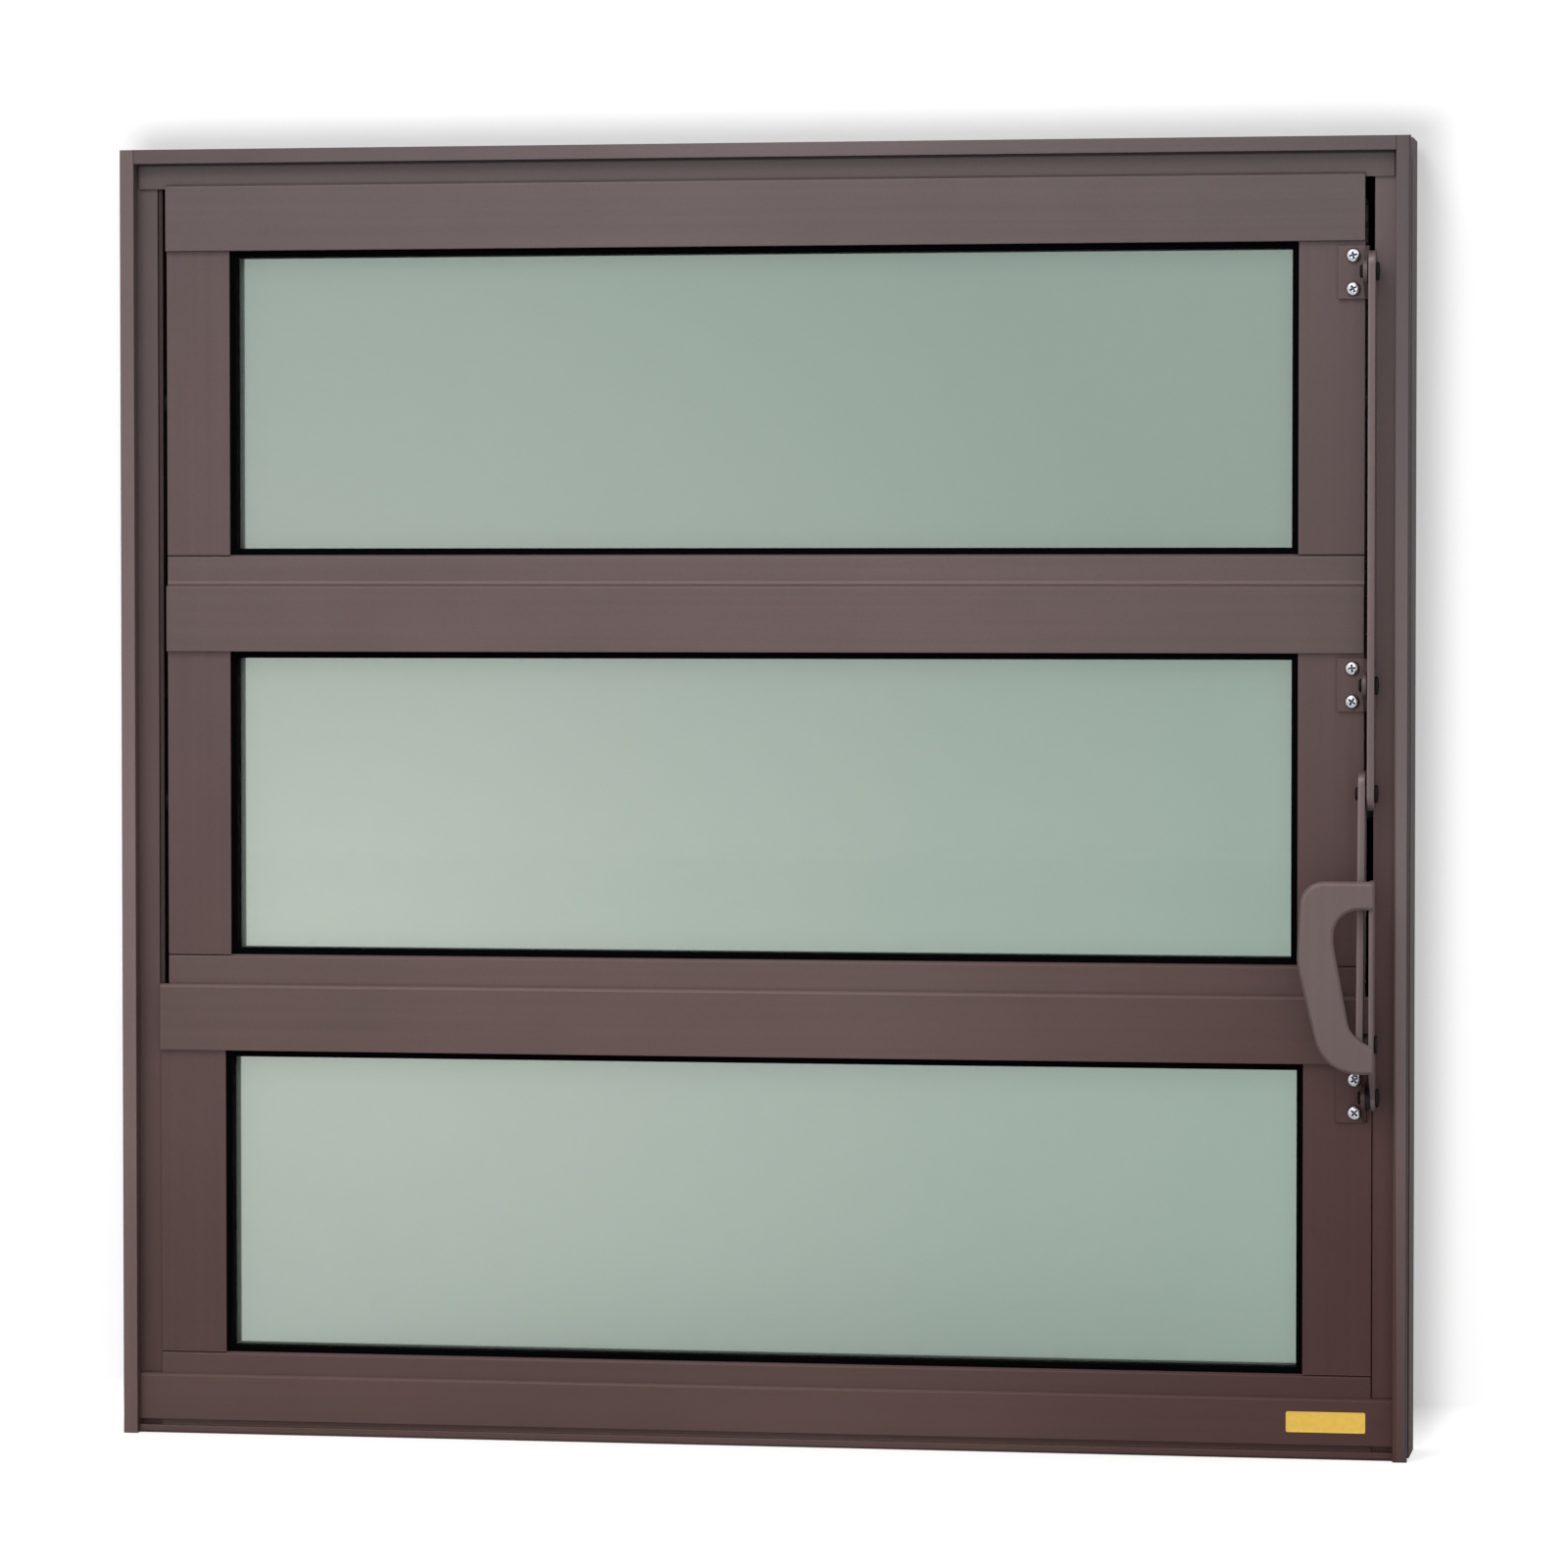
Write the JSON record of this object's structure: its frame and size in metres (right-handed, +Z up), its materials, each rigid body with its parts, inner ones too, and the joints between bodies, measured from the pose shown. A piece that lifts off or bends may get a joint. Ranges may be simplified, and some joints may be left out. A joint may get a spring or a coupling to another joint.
{
  "type": "horizontal pivot window",
  "caption": "Small bronze-finish aluminium horizontal pivot window: tilting glazed leaves over a fixed light, tied by a side bar and worked by a D-shaped lever handle.",
  "frame": {"origin": "middle of the sill's flat underside", "axes": "+X to the right seen from the room, +Y from the room to the outside, +Z up"},
  "size_m": [0.6, 0.0705, 0.6],
  "materials": {
    "bronze_frame": "satin bronze anodised",
    "bronze_leaf": "satin bronze anodised",
    "bronze_fittings": "satin bronze",
    "seal_rubber": "matt black",
    "black_nylon": "matt black",
    "black_rivet": "black",
    "zinc_steel": "bright zinc",
    "glass": "clear float"
  },
  "bodies": {
    "root": {"fixed_bottom_rail": "bronze_leaf", "fixed_bracket": "bronze_fittings", "fixed_bracket_screws": "zinc_steel", "fixed_gasket": "seal_rubber", "fixed_glass": "glass", "fixed_stile_left": "bronze_leaf", "fixed_stile_right": "bronze_leaf", "fixed_top_rail": "bronze_leaf", "frame_brushes": "seal_rubber", "frame_head": "bronze_frame", "frame_jamb_left": "bronze_frame", "frame_jamb_right": "bronze_frame", "frame_sill": "bronze_frame", "pivot_bushes": "black_nylon"},
    "leaf_1": {"leaf_1_bottom_rail": "bronze_leaf", "leaf_1_bracket": "bronze_fittings", "leaf_1_bracket_screws": "zinc_steel", "leaf_1_gasket": "seal_rubber", "leaf_1_glass": "glass", "leaf_1_pivot_pins": "zinc_steel", "leaf_1_stile_left": "bronze_leaf", "leaf_1_stile_right": "bronze_leaf", "leaf_1_top_rail": "bronze_leaf"},
    "leaf_2": {"leaf_2_bottom_rail": "bronze_leaf", "leaf_2_bracket": "bronze_fittings", "leaf_2_bracket_screws": "zinc_steel", "leaf_2_gasket": "seal_rubber", "leaf_2_glass": "glass", "leaf_2_pivot_pins": "zinc_steel", "leaf_2_stile_left": "bronze_leaf", "leaf_2_stile_right": "bronze_leaf", "leaf_2_top_rail": "bronze_leaf"},
    "coupler": {"coupler_bar": "bronze_fittings", "coupler_rivets": "black_rivet", "coupler_washers": "black_nylon"},
    "rod": {"connecting_rod": "bronze_fittings"},
    "handle": {"handle": "bronze_fittings", "handle_rivets": "black_rivet", "handle_washers": "black_nylon"}
  },
  "joints": [
    {"name": "leaf_1_pivot", "type": "hinge", "parent": "root", "child": "leaf_1", "pos_m": [0, -0.0083, 0.48225], "axis": [1, 0, 0], "range_deg": [0, 45]},
    {"name": "leaf_2_pivot", "type": "hinge", "parent": "root", "child": "leaf_2", "pos_m": [0, -0.0083, 0.29575], "axis": [1, 0, 0], "range_deg": [0, 45]},
    {"name": "coupler_pivot", "type": "hinge", "parent": "leaf_1", "child": "coupler", "pos_m": [0.2834, -0.0283, 0.5387], "axis": [1, 0, 0], "range_deg": [-45, 0]},
    {"name": "rod_pivot", "type": "hinge", "parent": "coupler", "child": "rod", "pos_m": [0.2794, -0.0283, 0.3033], "axis": [1, 0, 0], "range_deg": [0, 8.1]},
    {"name": "handle_pivot", "type": "hinge", "parent": "root", "child": "handle", "pos_m": [0.2848, -0.0283, 0.1657], "axis": [1, 0, 0], "range_deg": [0, 80.5]}
  ],
  "couplings": [
    {"joint": "leaf_2_pivot", "follows": "leaf_1_pivot", "ratio": 1},
    {"joint": "coupler_pivot", "follows": "leaf_1_pivot", "ratio": -1},
    {"joint": "rod_pivot", "follows": "leaf_1_pivot", "ratio": 0.1782},
    {"joint": "handle_pivot", "follows": "leaf_1_pivot", "ratio": 1.7876}
  ]
}
